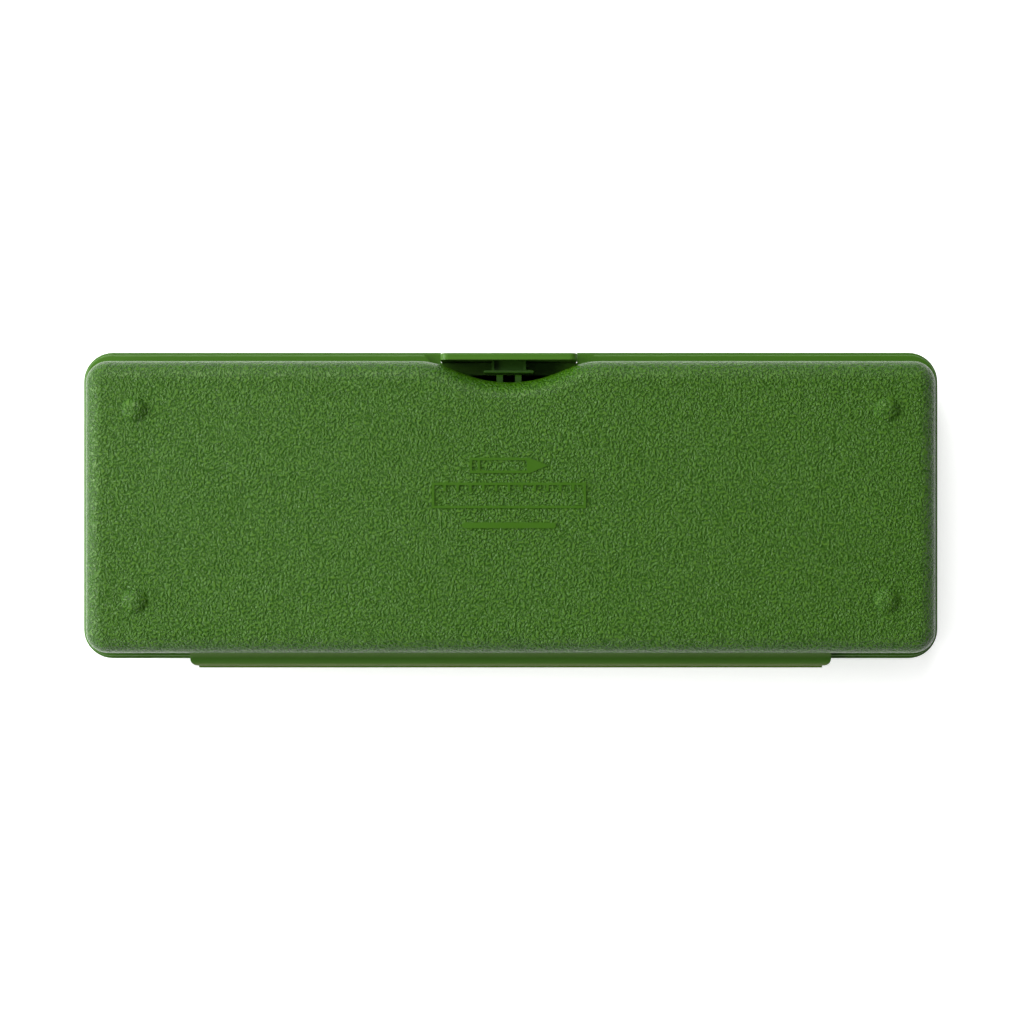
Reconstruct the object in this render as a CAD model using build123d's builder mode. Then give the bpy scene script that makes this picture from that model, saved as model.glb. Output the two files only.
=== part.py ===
"""Hard pencil case: two polypropylene trays joined by a living hinge, with a snap latch.

The case lies as it rests on a table with its feet up: the lid's flat outer face is at z = 0,
+X runs along the case, +Y points to the latch side and -Y to the hinge side.
"""

from build123d import *
import math
import os

os.makedirs("parts", exist_ok=True)

# ---------------------------------------------------------------- driving dimensions, in mm
parting_z = 13.0           # where the two trays meet; also the depth of the lid
base_depth = 12.0
seam_gap = 0.05            # half of the gap between the two rims

rim_length = 205.0         # the lid's rim is the largest outline of the case
rim_width = 73.4
rim_corner = 7.0
rim_thickness = 1.6
rim_step = 0.7             # the base rim stands this much inside the lid rim
rim_edge = 0.4             # rounding of the rims' outer edges
rim_y = 1.1                # centre of the rims; the hinge takes the rest of the width

tray_length = 200.5        # outside of the base tray's wall, at its foot
tray_width = 69.1
tray_y = 0.7
tray_corner = 5.4
wall = 1.6
draft = 1.0                # degrees that the walls lean inward
face_edge = 4.6            # rounding between the walls and the flat face
lid_inset = 1.3            # the lid's wall stands this much inside the base's wall

lip_clearance = 0.3        # between the lid's locating lip and the base's wall
lip_height = 1.2
lip_chamfer = 0.4
lip_break = 52.0           # the lip stops here for the finger recess

foot_diameter = 6.2
foot_height = 1.0
foot_spacing_x = 175.7
foot_spacing_y = 44.6

# Finger recess in the base's front wall: round shoulders, straight flanks, round bottom.
latch_x = -0.4
recess_depth = 5.05
recess_slope = 22.0        # degrees
shoulder_radius = 16.5
bottom_radius = 29.5

# Case hinge: a rail on each tray, and a thin web that wraps round their edges when shut.
rail_length = 152.6
rail_height = 3.6          # from the parting plane
rail_flat = 1.0
rail_corner = 1.7
rail_edge_y = -37.243
web_length = 149.4
web_span = 1.2             # free length of the web between the two rails
web_thickness = 0.35

# Latch: a flap on its own thin web, and a hook with a cross blade behind it.
flap_width = 32.3
flap_thickness = 1.6
flap_top = 22.3
flap_corner = 1.8
flap_edge = 0.4
flap_outer_y = 36.98
flap_side_gap = 0.2        # between the flap and the lid rim beside it
latch_web_width = flap_width
latch_web_span = 1.4
latch_web_thickness = 0.4
notch_width = 40.8         # gap in the base rim, at the rim's edge
notch_slant = 1.4          # its ends run inward at 45 degrees for this long

hook_width = 8.0
hook_z = 17.6
hook_floor = 0.9
hook_side_height = 1.8
hook_side_width = 0.5
blade_width = 12.0
blade_y = 32.3
blade_thickness = 0.8
blade_height = 2.0
blade_round = 0.3

# Two catch ribs on the recess wall, whose ledges lie under the blade.
catch_spacing = 4.4
catch_width = 1.5
catch_face_y = 32.0
catch_ledge_y = 33.5
catch_clearance = 0.1
catch_ledge_height = 1.0
catch_ramp_height = 1.7
catch_top_z = 19.5
catch_chamfer = 0.5

# Relief on the base's face: a pencil, a ruler and a bar.
mark_height = 0.25
mark_line = 0.6
mark_y = 3.4
pencil_length = 14.0
pencil_width = 3.6
pencil_tip = 4.4
ruler_length = 36.0
ruler_width = 6.0
ruler_divisions = 11
ruler_pitch = 3.0
ruler_tick = 1.8
bar_length = 22.0
bar_width = 1.4
mark_pitch = 7.0

ejector_diameter = 6.0     # shallow round marks left on the trays' floors by ejector pins
ejector_depth = 0.15
ejector_spacing_x = 58.0
ejector_spacing_y = 44.0

# ---------------------------------------------------------------- derived places
face_z = parting_z + base_depth
lid_seam = parting_z - seam_gap
base_seam = parting_z + seam_gap
lid_rim_z = lid_seam - rim_thickness
base_rim_z = base_seam + rim_thickness
tray_front = tray_y + tray_width / 2
tray_back = tray_y - tray_width / 2
rim_front = rim_y + rim_width / 2
rim_back = rim_y - rim_width / 2
beyond = 10.0              # a cutter reaches this far past what it cuts

web_radius = web_span / math.pi
flap_inner_y = flap_outer_y - flap_thickness
latch_web_radius = latch_web_span / (math.pi / 2)
latch_edge_y = flap_outer_y - flap_thickness / 2 - latch_web_radius
flap_bottom = lid_rim_z + rim_thickness / 2 + latch_web_radius


# ---------------------------------------------------------------- shared outlines
def plan(z, centre_y, length, width, corner):
    """A rounded rectangle at height z."""
    with BuildSketch(Plane.XY.offset(z)) as outline:
        with Locations((0, centre_y)):
            RectangleRounded(length, width, corner)
    return outline.sketch


def lid_plan(z, inset=0.0):
    """The lid wall's outline at its rim, moved inward by inset."""
    shrink = 2 * (lid_inset + inset)
    return plan(z, tray_y, tray_length - shrink, tray_width - shrink, tray_corner - inset)


def base_plan(z, inset=0.0):
    """The base wall's outline with the finger recess, moved inward by inset."""
    slope = math.radians(recess_slope)
    arcs = shoulder_radius + bottom_radius
    flank = (recess_depth - arcs * (1 - math.cos(slope))) / math.sin(slope)
    half_width = arcs * math.sin(slope) + flank * math.cos(slope)
    side = tray_length / 2 - inset
    front = tray_front - inset
    back = tray_back + inset
    start = (latch_x + half_width, front)
    with BuildSketch(Plane.XY.offset(z)) as outline:
        with BuildLine():
            shoulder = JernArc(start, (-1, 0), shoulder_radius - inset, recess_slope)
            down = Line(shoulder @ 1, shoulder @ 1 + (shoulder % 1) * flank)
            bottom = JernArc(down @ 1, down % 1, bottom_radius + inset, -2 * recess_slope)
            up = Line(bottom @ 1, bottom @ 1 + (bottom % 1) * flank)
            end = JernArc(up @ 1, up % 1, shoulder_radius - inset, recess_slope)
            Polyline(end @ 1, (-side, front), (-side, back), (side, back), (side, front), start)
        make_face()
        ends = outline.vertices().group_by(Axis.X)
        fillet(ends[0] + ends[-1], tray_corner - inset)
    return outline.sketch


def ejector_marks(z):
    """The outlines of the ejector marks on a tray's floor."""
    with BuildSketch(Plane.XY.offset(z)) as marks:
        with Locations((0, tray_y)):
            with GridLocations(ejector_spacing_x, ejector_spacing_y, 4, 2):
                Circle(ejector_diameter / 2)
    return marks.sketch


def level_edges(part, rank):
    """The edges of the part's level face with this rank, counted from the bottom."""
    return part.faces().filter_by(Plane.XY).sort_by(Axis.Z)[rank].edges()


# ---------------------------------------------------------------- lid
with BuildPart() as lid_shell:
    extrude(lid_plan(lid_rim_z), amount=-lid_rim_z, taper=draft)
    fillet(level_edges(lid_shell, 0), face_edge)
    extrude(lid_plan(lid_rim_z, wall), amount=wall - lid_rim_z, taper=draft, mode=Mode.SUBTRACT)
    fillet(level_edges(lid_shell, 1), face_edge - wall)
    extrude(ejector_marks(wall), amount=-ejector_depth, mode=Mode.SUBTRACT)
lid_shell.part.label = "lid_shell"
export_step(lid_shell.part, "parts/lid_shell.step")

with BuildPart() as lid_rim:
    extrude(plan(lid_rim_z, rim_y, rim_length, rim_width, rim_corner), amount=rim_thickness)
    fillet(level_edges(lid_rim, 0) + level_edges(lid_rim, -1), rim_edge)
    extrude(lid_plan(lid_rim_z, wall), amount=rim_thickness, mode=Mode.SUBTRACT)
    with BuildSketch(Plane.XY.offset(lid_rim_z)):
        with Locations((latch_x, latch_edge_y)):
            Rectangle(flap_width + 2 * flap_side_gap, beyond, align=(Align.CENTER, Align.MIN))
    extrude(amount=rim_thickness, mode=Mode.SUBTRACT)
lid_rim.part.label = "lid_rim"
export_step(lid_rim.part, "parts/lid_rim.step")

with BuildPart() as locating_lip:
    inset = wall + lip_clearance
    length, width = tray_length - 2 * inset, tray_width - 2 * inset
    extrude(plan(lid_seam, tray_y, length, width, tray_corner - inset), amount=lip_height)
    chamfer(level_edges(locating_lip, -1), lip_chamfer)
    extrude(lid_plan(lid_seam, wall), amount=lip_height, mode=Mode.SUBTRACT)
    with BuildSketch(Plane.XY.offset(lid_seam)):
        with Locations((latch_x, tray_front)):
            Rectangle(lip_break, beyond)
    extrude(amount=lip_height, mode=Mode.SUBTRACT)
locating_lip.part.label = "locating_lip"
export_step(locating_lip.part, "parts/locating_lip.step")

# ---------------------------------------------------------------- base
with BuildPart() as base_shell:
    extrude(base_plan(base_rim_z), amount=face_z - base_rim_z, taper=draft)
    fillet(level_edges(base_shell, -1), face_edge)
    depth = face_z - wall - base_rim_z
    extrude(base_plan(base_rim_z, wall), amount=depth, taper=draft, mode=Mode.SUBTRACT)
    fillet(level_edges(base_shell, -2), face_edge - wall)
    extrude(ejector_marks(face_z - wall), amount=ejector_depth, mode=Mode.SUBTRACT)
base_shell.part.label = "base_shell"
export_step(base_shell.part, "parts/base_shell.step")

with BuildPart() as base_rim:
    length, width = rim_length - 2 * rim_step, rim_width - 2 * rim_step
    outline = plan(base_seam, rim_y, length, width, rim_corner - rim_step)
    extrude(outline, amount=rim_thickness)
    fillet(level_edges(base_rim, 0) + level_edges(base_rim, -1), rim_edge)
    with BuildSketch(Plane((latch_x, rim_front - rim_step, base_seam))):
        outer, inner = notch_width / 2, notch_width / 2 - notch_slant
        with BuildLine():
            Polyline(
                (-outer, 0),
                (-inner, -notch_slant),
                (-inner, -beyond),
                (inner, -beyond),
                (inner, -notch_slant),
                (outer, 0),
                (outer, beyond),
                (-outer, beyond),
                close=True,
            )
        make_face()
    extrude(amount=rim_thickness, mode=Mode.SUBTRACT)
    extrude(base_plan(base_seam), amount=rim_thickness)
    extrude(base_plan(base_seam, wall), amount=rim_thickness, mode=Mode.SUBTRACT)
base_rim.part.label = "base_rim"
export_step(base_rim.part, "parts/base_rim.step")

with BuildPart() as base_feet:
    cap_radius = ((foot_diameter / 2) ** 2 + foot_height**2) / (2 * foot_height)
    with Locations((0, rim_y, face_z + foot_height - cap_radius)):
        with GridLocations(foot_spacing_x, foot_spacing_y, 2, 2):
            Sphere(cap_radius)
    split(bisect_by=Plane.XY.offset(face_z), keep=Keep.TOP)
base_feet.part.label = "base_feet"
export_step(base_feet.part, "parts/base_feet.step")

with BuildPart() as raised_mark:
    with BuildSketch(Plane((latch_x, mark_y, face_z))):
        with Locations((-pencil_tip / 2, mark_pitch)):
            Rectangle(pencil_length, pencil_width)
            Rectangle(
                pencil_length - 2 * mark_line, pencil_width - 2 * mark_line, mode=Mode.SUBTRACT
            )
        with Locations((-pencil_length / 2, mark_pitch)):
            Rectangle(mark_line, pencil_width)
        with BuildLine():
            shoulder_x = (pencil_length - pencil_tip) / 2
            Polyline(
                (shoulder_x, mark_pitch + pencil_width / 2),
                (shoulder_x + pencil_tip, mark_pitch),
                (shoulder_x, mark_pitch - pencil_width / 2),
                close=True,
            )
        make_face()
        Rectangle(ruler_length, ruler_width)
        Rectangle(ruler_length - 2 * mark_line, ruler_width - 2 * mark_line, mode=Mode.SUBTRACT)
        with Locations((0, (ruler_width - ruler_tick) / 2 - mark_line / 2)):
            with GridLocations(ruler_pitch, 0, ruler_divisions, 1):
                Rectangle(mark_line, ruler_tick)
        with Locations((0, -mark_pitch)):
            SlotOverall(bar_length, bar_width)
    extrude(amount=mark_height)
raised_mark.part.label = "raised_mark"
export_step(raised_mark.part, "parts/raised_mark.step")


# ---------------------------------------------------------------- case hinge
def hinge_rail(side):
    """The rail along the back of one tray; side is 1 on the base and -1 on the lid."""
    wall_y = tray_back if side > 0 else tray_back + lid_inset
    rim_y = rim_back + rim_step if side > 0 else rim_back
    shoulder_y = tray_back - rail_flat
    round_radius = shoulder_y - rail_edge_y
    seam_z = parting_z + side * seam_gap
    rim_z = seam_z + side * rim_thickness
    top_z = parting_z + side * rail_height
    outer = (rail_edge_y, top_z - side * round_radius)
    with BuildPart() as rail:
        with BuildSketch(Plane.YZ.offset(-rail_length / 2)):
            with BuildLine():
                JernArc(outer, (0, side), round_radius, -side * 90)
                Polyline(
                    (shoulder_y, top_z),
                    (wall_y, top_z),
                    (wall_y, rim_z),
                    (rim_y, rim_z),
                    (rim_y, seam_z),
                    (rail_edge_y, seam_z),
                    outer,
                )
            make_face()
        extrude(amount=rail_length)
        with BuildSketch() as rail_plan:
            with Locations((0, rail_edge_y)):
                Rectangle(rail_length, beyond, align=(Align.CENTER, Align.MIN))
            fillet(rail_plan.vertices().group_by(Axis.Y)[0], rail_corner)
        extrude(amount=face_z, mode=Mode.INTERSECT)
    return rail.part


lid_hinge_rail = hinge_rail(-1)
lid_hinge_rail.label = "lid_hinge_rail"
export_step(lid_hinge_rail, "parts/lid_hinge_rail.step")

base_hinge_rail = hinge_rail(1)
base_hinge_rail.label = "base_hinge_rail"
export_step(base_hinge_rail, "parts/base_hinge_rail.step")

with BuildPart() as hinge_web:
    with BuildSketch(Plane.YZ.offset(-web_length / 2)):
        with Locations((rail_edge_y, parting_z)):
            Circle(web_radius + web_thickness / 2)
            Circle(web_radius - web_thickness / 2, mode=Mode.SUBTRACT)
            Rectangle(beyond, beyond, align=(Align.MIN, Align.CENTER), mode=Mode.SUBTRACT)
    extrude(amount=web_length)
hinge_web.part.label = "hinge_web"
export_step(hinge_web.part, "parts/hinge_web.step")

# ---------------------------------------------------------------- latch
with BuildPart() as latch_web:
    with BuildSketch(Plane.YZ.offset(latch_x - latch_web_width / 2)):
        with Locations((latch_edge_y, flap_bottom)):
            Circle(latch_web_radius + latch_web_thickness / 2)
            Circle(latch_web_radius - latch_web_thickness / 2, mode=Mode.SUBTRACT)
            Rectangle(beyond, beyond, align=(Align.MIN, Align.MAX), mode=Mode.INTERSECT)
    extrude(amount=latch_web_width)
latch_web.part.label = "latch_web"
export_step(latch_web.part, "parts/latch_web.step")

with BuildPart() as latch_flap:
    with BuildSketch(Plane.XZ.offset(-flap_outer_y)) as flap_plan:
        with Locations((latch_x, flap_bottom)):
            Rectangle(flap_width, flap_top - flap_bottom, align=(Align.CENTER, Align.MIN))
        fillet(flap_plan.vertices().group_by(Axis.Y)[-1], flap_corner)
    extrude(amount=flap_thickness)
    fillet(latch_flap.faces().sort_by(Axis.Y)[-1].edges(), flap_edge)
latch_flap.part.label = "latch_flap"
export_step(latch_flap.part, "parts/latch_flap.step")

with BuildPart() as latch_hook:
    blade_outer_y = blade_y + blade_thickness
    reach = flap_inner_y - blade_outer_y
    with BuildSketch(Plane((latch_x, blade_outer_y, hook_z))):
        Rectangle(hook_width, reach, align=(Align.CENTER, Align.MIN))
    extrude(amount=hook_floor)
    with BuildSketch(Plane((latch_x, blade_outer_y, hook_z + hook_floor))):
        with GridLocations(hook_width - hook_side_width, 0, 2, 1):
            Rectangle(hook_side_width, reach, align=(Align.CENTER, Align.MIN))
    extrude(amount=hook_side_height - hook_floor)
latch_hook.part.label = "latch_hook"
export_step(latch_hook.part, "parts/latch_hook.step")

with BuildPart() as latch_blade:
    with BuildSketch(Plane((latch_x, blade_y + blade_thickness / 2, hook_z))):
        SlotOverall(blade_width, blade_thickness)
    extrude(amount=blade_height)
    fillet(level_edges(latch_blade, -1), blade_round)
latch_blade.part.label = "latch_blade"
export_step(latch_blade.part, "parts/latch_blade.step")

with BuildPart() as catch_ribs:
    ledge_z = hook_z - catch_clearance
    ramp_top = ledge_z - catch_ledge_height
    ramp_foot = ramp_top - catch_ramp_height
    root_y = tray_front - recess_depth - wall
    for offset_x in (-catch_spacing / 2, catch_spacing / 2):
        with BuildSketch(Plane.YZ.offset(latch_x + offset_x)):
            with BuildLine():
                Polyline(
                    (root_y, ramp_foot),
                    (catch_face_y, ramp_foot),
                    (catch_ledge_y, ramp_top),
                    (catch_ledge_y, ledge_z),
                    (catch_face_y, ledge_z),
                    (catch_face_y, catch_top_z - catch_chamfer),
                    (catch_face_y - catch_chamfer, catch_top_z),
                    (root_y, catch_top_z),
                    close=True,
                )
            make_face()
        extrude(amount=catch_width / 2, both=True)
    extrude(base_plan(base_rim_z), amount=face_z - base_rim_z, taper=draft, mode=Mode.SUBTRACT)
catch_ribs.part.label = "catch_ribs"
export_step(catch_ribs.part, "parts/catch_ribs.step")
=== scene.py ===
"""A hard pencil case of green polypropylene, lying with its feet up on a pale studio table."""

import math

import bpy
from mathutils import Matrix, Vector


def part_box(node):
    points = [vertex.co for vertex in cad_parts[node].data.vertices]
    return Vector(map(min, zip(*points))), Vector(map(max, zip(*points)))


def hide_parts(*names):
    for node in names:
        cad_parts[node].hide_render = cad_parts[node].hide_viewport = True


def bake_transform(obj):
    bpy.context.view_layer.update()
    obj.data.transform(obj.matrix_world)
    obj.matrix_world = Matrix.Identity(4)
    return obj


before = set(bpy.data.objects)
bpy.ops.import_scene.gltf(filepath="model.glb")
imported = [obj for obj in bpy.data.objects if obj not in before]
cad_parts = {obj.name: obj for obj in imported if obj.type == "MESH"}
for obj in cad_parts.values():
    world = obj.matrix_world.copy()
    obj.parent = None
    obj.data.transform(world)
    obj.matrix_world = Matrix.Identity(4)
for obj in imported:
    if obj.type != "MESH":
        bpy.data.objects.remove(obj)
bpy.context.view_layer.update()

MM = 0.001
PARTING_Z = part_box("lid_rim")[1].z
WEB_THICKNESS = 0.35 * MM
LATCH_WEB_THICKNESS = 0.40 * MM
WEB_STEPS = 24                  # faces along each folded web

CAMERA_DISTANCE = 450 * MM      # above the seam of the two trays
VIEW_WIDTH = 245.8 * MM         # at the height of the seam
CAMERA_X, CAMERA_Y = 0.32 * MM, -0.47 * MM

TABLE_SIZE = 60                 # metres
TABLE_GAP = 0.02 * MM           # keeps the table just under the case
TABLE_GLOW = 0.53
SURROUND_SLOPE = (-0.34, 0.0, -0.33)
SURROUND_MEAN = 0.48

WRINKLE_CELLS = 1800            # per metre
FINE_CELLS = 5200
SMOOTH_CELLS = 2600
GRAIN_DEPTH = 0.30 * MM

# Colours of the plastic, linear RGB. GREEN_SHADE also paints in part of the shade in the recess.
GREEN = (0.042, 0.118, 0.0095)
GREEN_LIGHT = (0.049, 0.131, 0.0140)
# painted shade: the steep walls and rounding are painted darker than the flat faces
GREEN_PAINTED_WALL_SHADE = (0.028, 0.102, 0.0010)
# painted shade, in the grain's hollows and on the latch parts in the recess
GREEN_PAINTED_DARK_SHADE = (0.011, 0.050, 0.0006)
# painted highlight on the grain's ridges
GREEN_PAINTED_GLINT = (0.118, 0.216, 0.0260)
GREEN_MARK = (0.031, 0.096, 0.0025)
GREEN_SHADE = (0.016, 0.044, 0.0045)
# painted reflection: the pale sheen on the rail beside the wall
GREEN_PAINTED_SHEEN = (0.140, 0.240, 0.0700)
# painted light: the olive on the hinge web and on the rail's edge beside it
OLIVE_PAINTED_LIGHT = (0.066, 0.108, 0.0008)


# ---------------------------------------------------------------- camera, light and table
def add_camera():
    """Looks straight down at the footed face."""
    data = bpy.data.cameras.new("camera")
    data.sensor_width = 36
    data.lens = data.sensor_width * CAMERA_DISTANCE / VIEW_WIDTH
    data.clip_start, data.clip_end = 0.01, 20
    camera = bpy.data.objects.new("camera", data)
    camera.location = (CAMERA_X, CAMERA_Y, PARTING_Z + CAMERA_DISTANCE)
    bpy.context.scene.collection.objects.link(camera)
    bpy.context.scene.camera = camera


def add_area_light(name, place, size, power):
    """A square soft light at place that faces the case."""
    data = bpy.data.lights.new(name, "AREA")
    data.shape = "SQUARE"
    data.size = size
    data.energy = power
    light = bpy.data.objects.new(name, data)
    light.location = place
    light.rotation_euler = (-Vector(place)).to_track_quat("-Z", "Y").to_euler()
    bpy.context.scene.collection.objects.link(light)


def add_surround():
    """A white surround that is brightest low on the left and darkest high on the right."""
    world = bpy.data.worlds.new("surround")
    world.use_nodes = True
    nodes, links = world.node_tree.nodes, world.node_tree.links
    direction = nodes.new("ShaderNodeTexCoord")
    slope = nodes.new("ShaderNodeVectorMath")
    slope.operation = "DOT_PRODUCT"
    slope.inputs[1].default_value = SURROUND_SLOPE
    strength = nodes.new("ShaderNodeMath")
    strength.operation = "ADD"
    strength.inputs[1].default_value = SURROUND_MEAN
    links.new(direction.outputs["Generated"], slope.inputs[0])
    links.new(slope.outputs["Value"], strength.inputs[0])
    background = nodes["Background"]
    background.inputs["Color"].default_value = (1, 1, 1, 1)
    links.new(strength.outputs["Value"], background.inputs["Strength"])
    bpy.context.scene.world = world


def add_studio():
    """A large pale table, faintly lit from below, under soft lights from the back and the left."""
    bpy.ops.mesh.primitive_plane_add(size=TABLE_SIZE, location=(0, 0, -TABLE_GAP))
    table = bpy.context.object
    table.name = "table"
    paper = bpy.data.materials.new("table_paper")
    paper.use_nodes = True
    shader = paper.node_tree.nodes["Principled BSDF"]
    shader.inputs["Base Color"].default_value = (0.90, 0.90, 0.895, 1)
    shader.inputs["Roughness"].default_value = 0.8
    shader.inputs["Specular IOR Level"].default_value = 0.1
    shader.inputs["Emission Color"].default_value = (1, 1, 1, 1)
    shader.inputs["Emission Strength"].default_value = TABLE_GLOW
    table.data.materials.append(paper)
    add_area_light("key_back", (-0.28, 0.78, 1.05), 0.7, 14.5)
    add_area_light("key_left", (-1.05, 0.05, 0.50), 0.8, 21.0)
    add_surround()
    bpy.context.scene.view_settings.view_transform = "Standard"


# ---------------------------------------------------------------- folded webs
def folded_web(name, centre, radius, thickness, turn, width):
    """A strip of even thickness bent round an axis along X; turn is its first and last angle
    and width its first and last x."""
    verts, faces = [], []
    for step in range(WEB_STEPS + 1):
        angle = turn[0] + (turn[1] - turn[0]) * step / WEB_STEPS
        for reach in (radius - thickness / 2, radius + thickness / 2):
            for x in width:
                y = centre[0] + reach * math.cos(angle)
                verts.append((x, y, centre[1] + reach * math.sin(angle)))
    for step in range(WEB_STEPS):
        low, high = 4 * step, 4 * step + 4
        for a, b in ((0, 1), (1, 3), (3, 2), (2, 0)):
            faces.append((low + a, low + b, high + b, high + a))
    last = 4 * WEB_STEPS
    faces += [(0, 2, 3, 1), (last, last + 1, last + 3, last + 2)]
    mesh = bpy.data.meshes.new(name)
    mesh.from_pydata(verts, [], faces)
    mesh.polygons.foreach_set("use_smooth", [True] * (4 * WEB_STEPS) + [False] * 2)
    mesh.set_sharp_from_angle(angle=math.radians(40))
    piece = bpy.data.objects.new(name, mesh)
    bpy.context.scene.collection.objects.link(piece)
    return piece


def add_webs(material):
    """The case's hinge web and the latch's web, which bend between the bodies that they join."""
    low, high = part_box("hinge_web")
    radius = (high.z - low.z) / 2 - WEB_THICKNESS / 2
    hinge = folded_web(
        "folded_hinge_web", (high.y, PARTING_Z), radius, WEB_THICKNESS,
        (1.5 * math.pi, 0.5 * math.pi), (low.x, high.x),
    )
    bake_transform(hinge)
    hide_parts("hinge_web")

    low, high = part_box("latch_web")
    radius = high.y - low.y - LATCH_WEB_THICKNESS / 2
    latch = folded_web(
        "folded_latch_web", (low.y, high.z), radius, LATCH_WEB_THICKNESS,
        (-0.5 * math.pi, 0), (low.x, high.x),
    )
    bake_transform(latch)
    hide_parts("latch_web")
    for piece in (hinge, latch):
        piece.data.materials.append(material)


# ---------------------------------------------------------------- materials
class Nodes:
    """Adds shader nodes to one material and links them."""

    def __init__(self, name):
        self.material = bpy.data.materials.new(name)
        self.material.use_nodes = True
        self.tree = self.material.node_tree
        self.shader = self.tree.nodes["Principled BSDF"]
        self.place = self.add("ShaderNodeTexCoord")

    def add(self, kind, **settings):
        node = self.tree.nodes.new(kind)
        for key, value in settings.items():
            setattr(node, key, value)
        return node

    def link(self, source, target):
        self.tree.links.new(source, target)

    def noise(self, scale, detail=2.0, roughness=0.5, distortion=0.0, stretch=(1, 1, 1)):
        """A noise over the object's own coordinates; scale is in cells per metre."""
        node = self.add("ShaderNodeTexNoise")
        mapping = self.add("ShaderNodeMapping")
        mapping.inputs["Scale"].default_value = stretch
        node.inputs["Scale"].default_value = scale
        node.inputs["Detail"].default_value = detail
        node.inputs["Roughness"].default_value = roughness
        node.inputs["Distortion"].default_value = distortion
        self.link(self.place.outputs["Object"], mapping.inputs["Vector"])
        self.link(mapping.outputs["Vector"], node.inputs["Vector"])
        return node.outputs["Fac"]

    def ramp(self, value, low, high, to_low=0.0, to_high=1.0):
        """value mapped smoothly from low..high to to_low..to_high."""
        node = self.add("ShaderNodeMapRange", interpolation_type="SMOOTHSTEP")
        numbers = {"From Min": low, "From Max": high, "To Min": to_low, "To Max": to_high}
        for socket, number in numbers.items():
            node.inputs[socket].default_value = number
        self.link(value, node.inputs["Value"])
        return node.outputs["Result"]

    def math(self, operation, a, b):
        node = self.add("ShaderNodeMath", operation=operation)
        for socket, value in zip(node.inputs, (a, b)):
            if isinstance(value, (int, float)):
                socket.default_value = value
            else:
                self.link(value, socket)
        return node.outputs["Value"]

    def mix(self, factor, colour_a, colour_b):
        """A colour between colour_a and colour_b; either may be a socket or linear RGB."""
        node = self.add("ShaderNodeMix", data_type="RGBA")
        self.link(factor, node.inputs["Factor"])
        sockets = [socket for socket in node.inputs if socket.type == "RGBA"]
        for socket, colour in zip(sockets, (colour_a, colour_b)):
            if isinstance(colour, tuple):
                socket.default_value = (*colour, 1)
            else:
                self.link(colour, socket)
        return next(socket for socket in node.outputs if socket.type == "RGBA")

    def axis(self, source, letter):
        """One axis of the object's own coordinates or normal."""
        node = self.add("ShaderNodeSeparateXYZ")
        self.link(self.place.outputs[source], node.inputs["Vector"])
        return node.outputs[letter]

    def outside(self, centre):
        """1 on the surfaces that face away from centre and 0 on those that face it."""
        away = self.add("ShaderNodeVectorMath", operation="SUBTRACT")
        self.link(self.place.outputs["Object"], away.inputs[0])
        away.inputs[1].default_value = centre
        dot = self.add("ShaderNodeVectorMath", operation="DOT_PRODUCT")
        self.link(away.outputs["Vector"], dot.inputs[0])
        self.link(self.place.outputs["Normal"], dot.inputs[1])
        return self.ramp(dot.outputs["Value"], 0.0, 0.4 * MM)

    def bump(self, height, depth):
        """Raises the surface by height times depth, in metres."""
        node = self.add("ShaderNodeBump")
        node.inputs["Strength"].default_value = 1.0
        node.inputs["Distance"].default_value = depth
        self.link(height, node.inputs["Height"])
        return node.outputs["Normal"]

    def finish(self, colour, roughness, normal, specular=0.13):
        self.link(colour, self.shader.inputs["Base Color"])
        self.link(roughness, self.shader.inputs["Roughness"])
        self.link(normal, self.shader.inputs["Normal"])
        self.shader.inputs["IOR"].default_value = 1.49
        self.shader.inputs["Specular IOR Level"].default_value = specular
        return self.material


def grained_plastic(name, centre=None):
    """Polypropylene with a moulded leather grain, only on the outside if a centre is given.
    Painted shade darkens the grain's hollows and the steep walls and rounding, and painted
    highlights lighten the grain's ridges.
    """
    n = Nodes(name)
    level = n.math("ABSOLUTE", n.axis("Normal", "Z"), 0)
    cover = n.ramp(level, 0.10, 0.75, 0.40, 1.0)
    if centre is not None:
        cover = n.math("MULTIPLY", n.outside(centre), cover)
    wrinkle = n.noise(WRINKLE_CELLS, detail=1.0, roughness=0.4, distortion=0.6)
    plateau = n.ramp(wrinkle, 0.33, 0.62)
    fine = n.noise(FINE_CELLS, detail=2.0)
    grain = n.math("ADD", plateau, n.math("MULTIPLY", fine, 0.20))
    normal = n.bump(n.math("MULTIPLY", grain, cover), GRAIN_DEPTH)
    tint = n.mix(n.noise(45, detail=3.0), GREEN, GREEN_LIGHT)
    # painted shade: steep walls and rounding turn a darker green than the flat faces
    tint = n.mix(n.ramp(level, 0.75, 0.97), GREEN_PAINTED_WALL_SHADE, tint)
    # painted shade in the grain's hollows
    painted_hollow_shade = n.math("MULTIPLY", n.ramp(wrinkle, 0.32, 0.50, 0.70, 0.0), cover)
    # painted highlight: the grain's ridges are painted lighter, as glints
    painted_glint = n.math("MULTIPLY", n.ramp(wrinkle, 0.56, 0.74, 0.0, 0.28), cover)
    colour = n.mix(painted_glint, n.mix(painted_hollow_shade, tint, GREEN_PAINTED_DARK_SHADE), GREEN_PAINTED_GLINT)
    return n.finish(colour, n.ramp(fine, 0.3, 0.7, 0.22, 0.32), normal, specular=0.20)


def smooth_plastic(name, colour_a=GREEN, colour_b=GREEN_LIGHT, gloss=(0.26, 0.36)):
    """Moulded polypropylene with faint flow marks and a satin gloss."""
    n = Nodes(name)
    colour = n.mix(n.noise(60, detail=3.0), colour_a, colour_b)
    fine = n.noise(SMOOTH_CELLS, detail=3.0)
    return n.finish(colour, n.ramp(fine, 0.3, 0.7, *gloss), n.bump(fine, 0.006 * MM))


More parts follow.
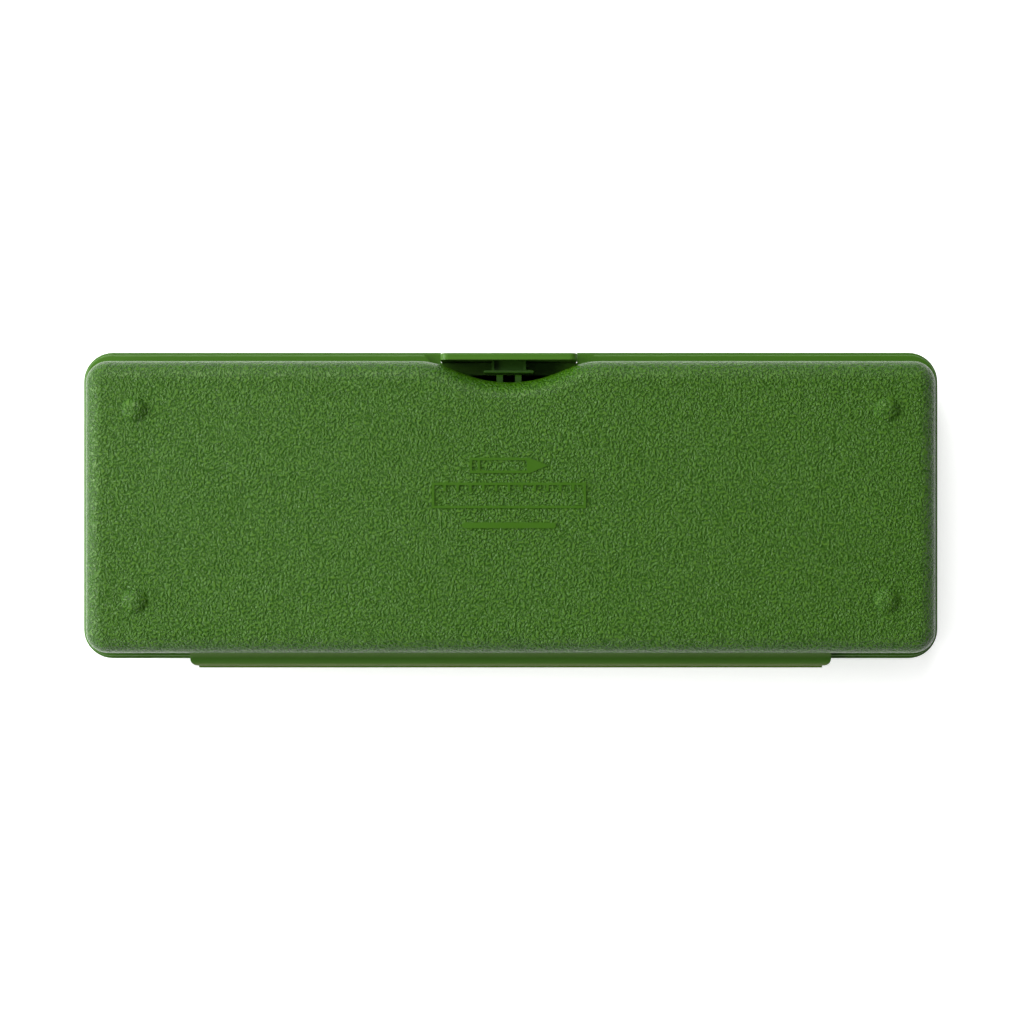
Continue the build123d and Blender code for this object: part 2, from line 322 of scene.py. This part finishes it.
def rail_plastic(name, edge_y, wall_y):
    """Smooth plastic, with a painted pale sheen beside the wall and painted olive light towards
    the hinge's edge.
    """
    n = Nodes(name)
    y = n.axis("Object", "Y")
    colour = n.mix(n.noise(60, detail=3.0), GREEN, GREEN_LIGHT)
    # painted light: olive towards the hinge's edge
    colour = n.mix(n.ramp(y, edge_y, edge_y + 1.1 * MM, 1.0, 0.0), colour, OLIVE_PAINTED_LIGHT)
    # painted reflection: a pale sheen on the rail's top beside the wall
    painted_sheen = n.ramp(y, wall_y - 1.6 * MM, wall_y, 0.0, 1.0)
    colour = n.mix(painted_sheen, colour, GREEN_PAINTED_SHEEN)
    fine = n.noise(SMOOTH_CELLS, detail=3.0)
    gloss = n.ramp(fine, 0.3, 0.7, 0.42, 0.54)
    return n.finish(colour, gloss, n.bump(fine, 0.02 * MM), specular=0.12)


def web_plastic(name):
    """Thin stretched polypropylene, painted olive as light on the thin web, with fine lines along
    the fold.
    """
    n = Nodes(name)
    colour = n.mix(n.noise(90), OLIVE_PAINTED_LIGHT, GREEN)
    lines = n.noise(1, stretch=(60, 4000, 4000))
    gloss = n.ramp(lines, 0.3, 0.7, 0.34, 0.46)
    return n.finish(colour, gloss, n.bump(lines, 0.01 * MM), specular=0.08)


def paint(node, material):
    """Gives a CAD node one material in place of its own."""
    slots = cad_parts[node].material_slots
    if not slots:
        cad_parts[node].data.materials.append(material)
    for slot in slots:
        slot.material = material


def paint_case():
    centre = Vector((0, 0.7 * MM, PARTING_Z))
    shell = grained_plastic("grained_shell", centre)
    for node in ("lid_shell", "base_shell"):
        paint(node, shell)
    paint("base_feet", grained_plastic("grained_feet"))
    rim = smooth_plastic("smooth_rim")
    for node in ("lid_rim", "base_rim", "locating_lip"):
        paint(node, rim)
    rail_low, rail_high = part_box("base_hinge_rail")
    rail = rail_plastic("hinge_rail", rail_low.y, rail_high.y)
    for node in ("lid_hinge_rail", "base_hinge_rail"):
        paint(node, rail)
    paint("raised_mark", smooth_plastic("raised_mark", GREEN_MARK, GREEN, gloss=(0.36, 0.46)))
    paint("latch_flap", smooth_plastic("latch_flap"))
    # painted shade: the latch's bracket, blade and catch ribs are painted darker, as the recess's
    # shade falls on them
    latch_painted_shade = smooth_plastic("latch_parts", GREEN_SHADE, GREEN_PAINTED_DARK_SHADE, gloss=(0.34, 0.44))
    for node in ("latch_hook", "latch_blade", "catch_ribs"):
        paint(node, latch_painted_shade)


add_camera()
add_studio()
paint_case()
add_webs(web_plastic("hinge_web"))
